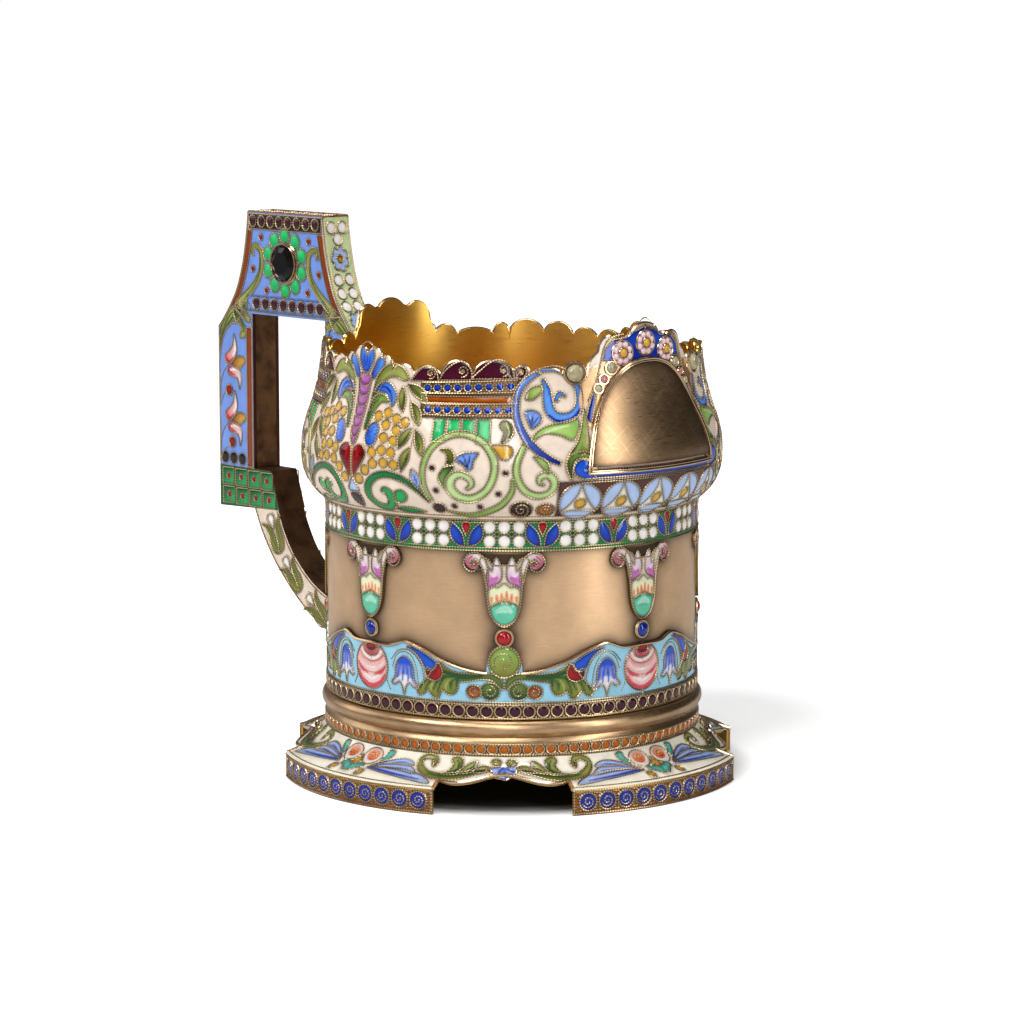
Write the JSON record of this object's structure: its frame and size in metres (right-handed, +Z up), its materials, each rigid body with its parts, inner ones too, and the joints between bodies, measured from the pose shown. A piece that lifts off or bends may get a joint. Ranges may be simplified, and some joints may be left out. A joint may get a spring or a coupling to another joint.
{
  "type": "podstakannik tea glass holder",
  "caption": "Enamelled metal holder for a tea glass: open sleeve with a bulged scalloped collar, box handle with a window, and low feet.",
  "frame": {"origin": "on the cup's axis, in the plane of the table under the feet", "axes": "+Z up along the cup's axis, +X towards the arched plaque on the front, -X towards the handle"},
  "size_m": [0.1354, 0.0922, 0.1075],
  "materials": {
    "gilt": "satin, slightly oxidised gilding",
    "bright_gilt": "brushed bright gilding",
    "silver_gilt": "polished pale gilding",
    "dark_gilt": "dark oxidised gilding",
    "collar_enamel": "opaque cream enamel between wires",
    "base_enamel": "opaque cream enamel between wires",
    "green_enamel": "translucent green enamel between wires",
    "turquoise_enamel": "opaque turquoise enamel between wires",
    "dark_dot_enamel": "dark plum enamel dots in wire rings",
    "orange_dot_enamel": "burnt orange enamel dots in wire rings",
    "foot_enamel": "ochre enamel with blue spirals",
    "shell_enamel": "blue enamel between wires",
    "handle_enamel": "periwinkle enamel between wires",
    "side_enamel": "pale green enamel with white dots",
    "cap_enamel": "orange enamel with blue motifs",
    "arm_enamel": "white enamel with green tulips",
    "flower_enamel": "shaded pink enamel between wires",
    "spiral_enamel": "olive enamel between wires",
    "blue_stone": "polished blue cabochon",
    "red_stone": "polished red cabochon",
    "black_stone": "polished black faceted stone",
    "clear_stone": "clear faceted stone"
  },
  "bodies": {
    "root": {"sleeve": "gilt", "sleeve_moulding": "gilt", "front_plaque": "gilt", "plaque_frame": "gilt", "glass_floor": "bright_gilt", "stone_cups": "silver_gilt", "stone_bezel_front": "silver_gilt", "stone_bezel_back": "silver_gilt", "window_lining": "dark_gilt", "arm_outer_strip": "dark_gilt", "arm_inner_strip": "dark_gilt", "collar": "collar_enamel", "base_saucer": "base_enamel", "bead_band": "green_enamel", "handle_block": "green_enamel", "garland_band": "turquoise_enamel", "dot_band": "dark_dot_enamel", "low_dot_band": "orange_dot_enamel", "foot_wall_1": "foot_enamel", "foot_wall_2": "foot_enamel", "foot_wall_3": "foot_enamel", "foot_wall_4": "foot_enamel", "base_shell_1": "shell_enamel", "base_shell_2": "shell_enamel", "base_shell_3": "shell_enamel", "base_shell_4": "shell_enamel", "plaque_ribbon": "shell_enamel", "handle_front_plate": "handle_enamel", "handle_back_plate": "handle_enamel", "handle_outer_strip": "side_enamel", "handle_inner_strip": "side_enamel", "handle_top_cap": "cap_enamel", "arm_front_plate": "arm_enamel", "arm_back_plate": "arm_enamel", "garland_roses": "flower_enamel", "crest_daisies": "flower_enamel", "lotus_column_1": "flower_enamel", "lotus_column_2": "flower_enamel", "lotus_column_3": "flower_enamel", "lotus_column_4": "flower_enamel", "lotus_column_5": "flower_enamel", "lotus_column_6": "flower_enamel", "lotus_column_7": "flower_enamel", "lotus_column_8": "flower_enamel", "garland_spirals": "spiral_enamel", "blue_drops": "blue_stone", "red_drops": "red_stone", "black_stone_front": "black_stone", "black_stone_back": "black_stone", "clear_stones": "clear_stone"}
  },
  "joints": []
}
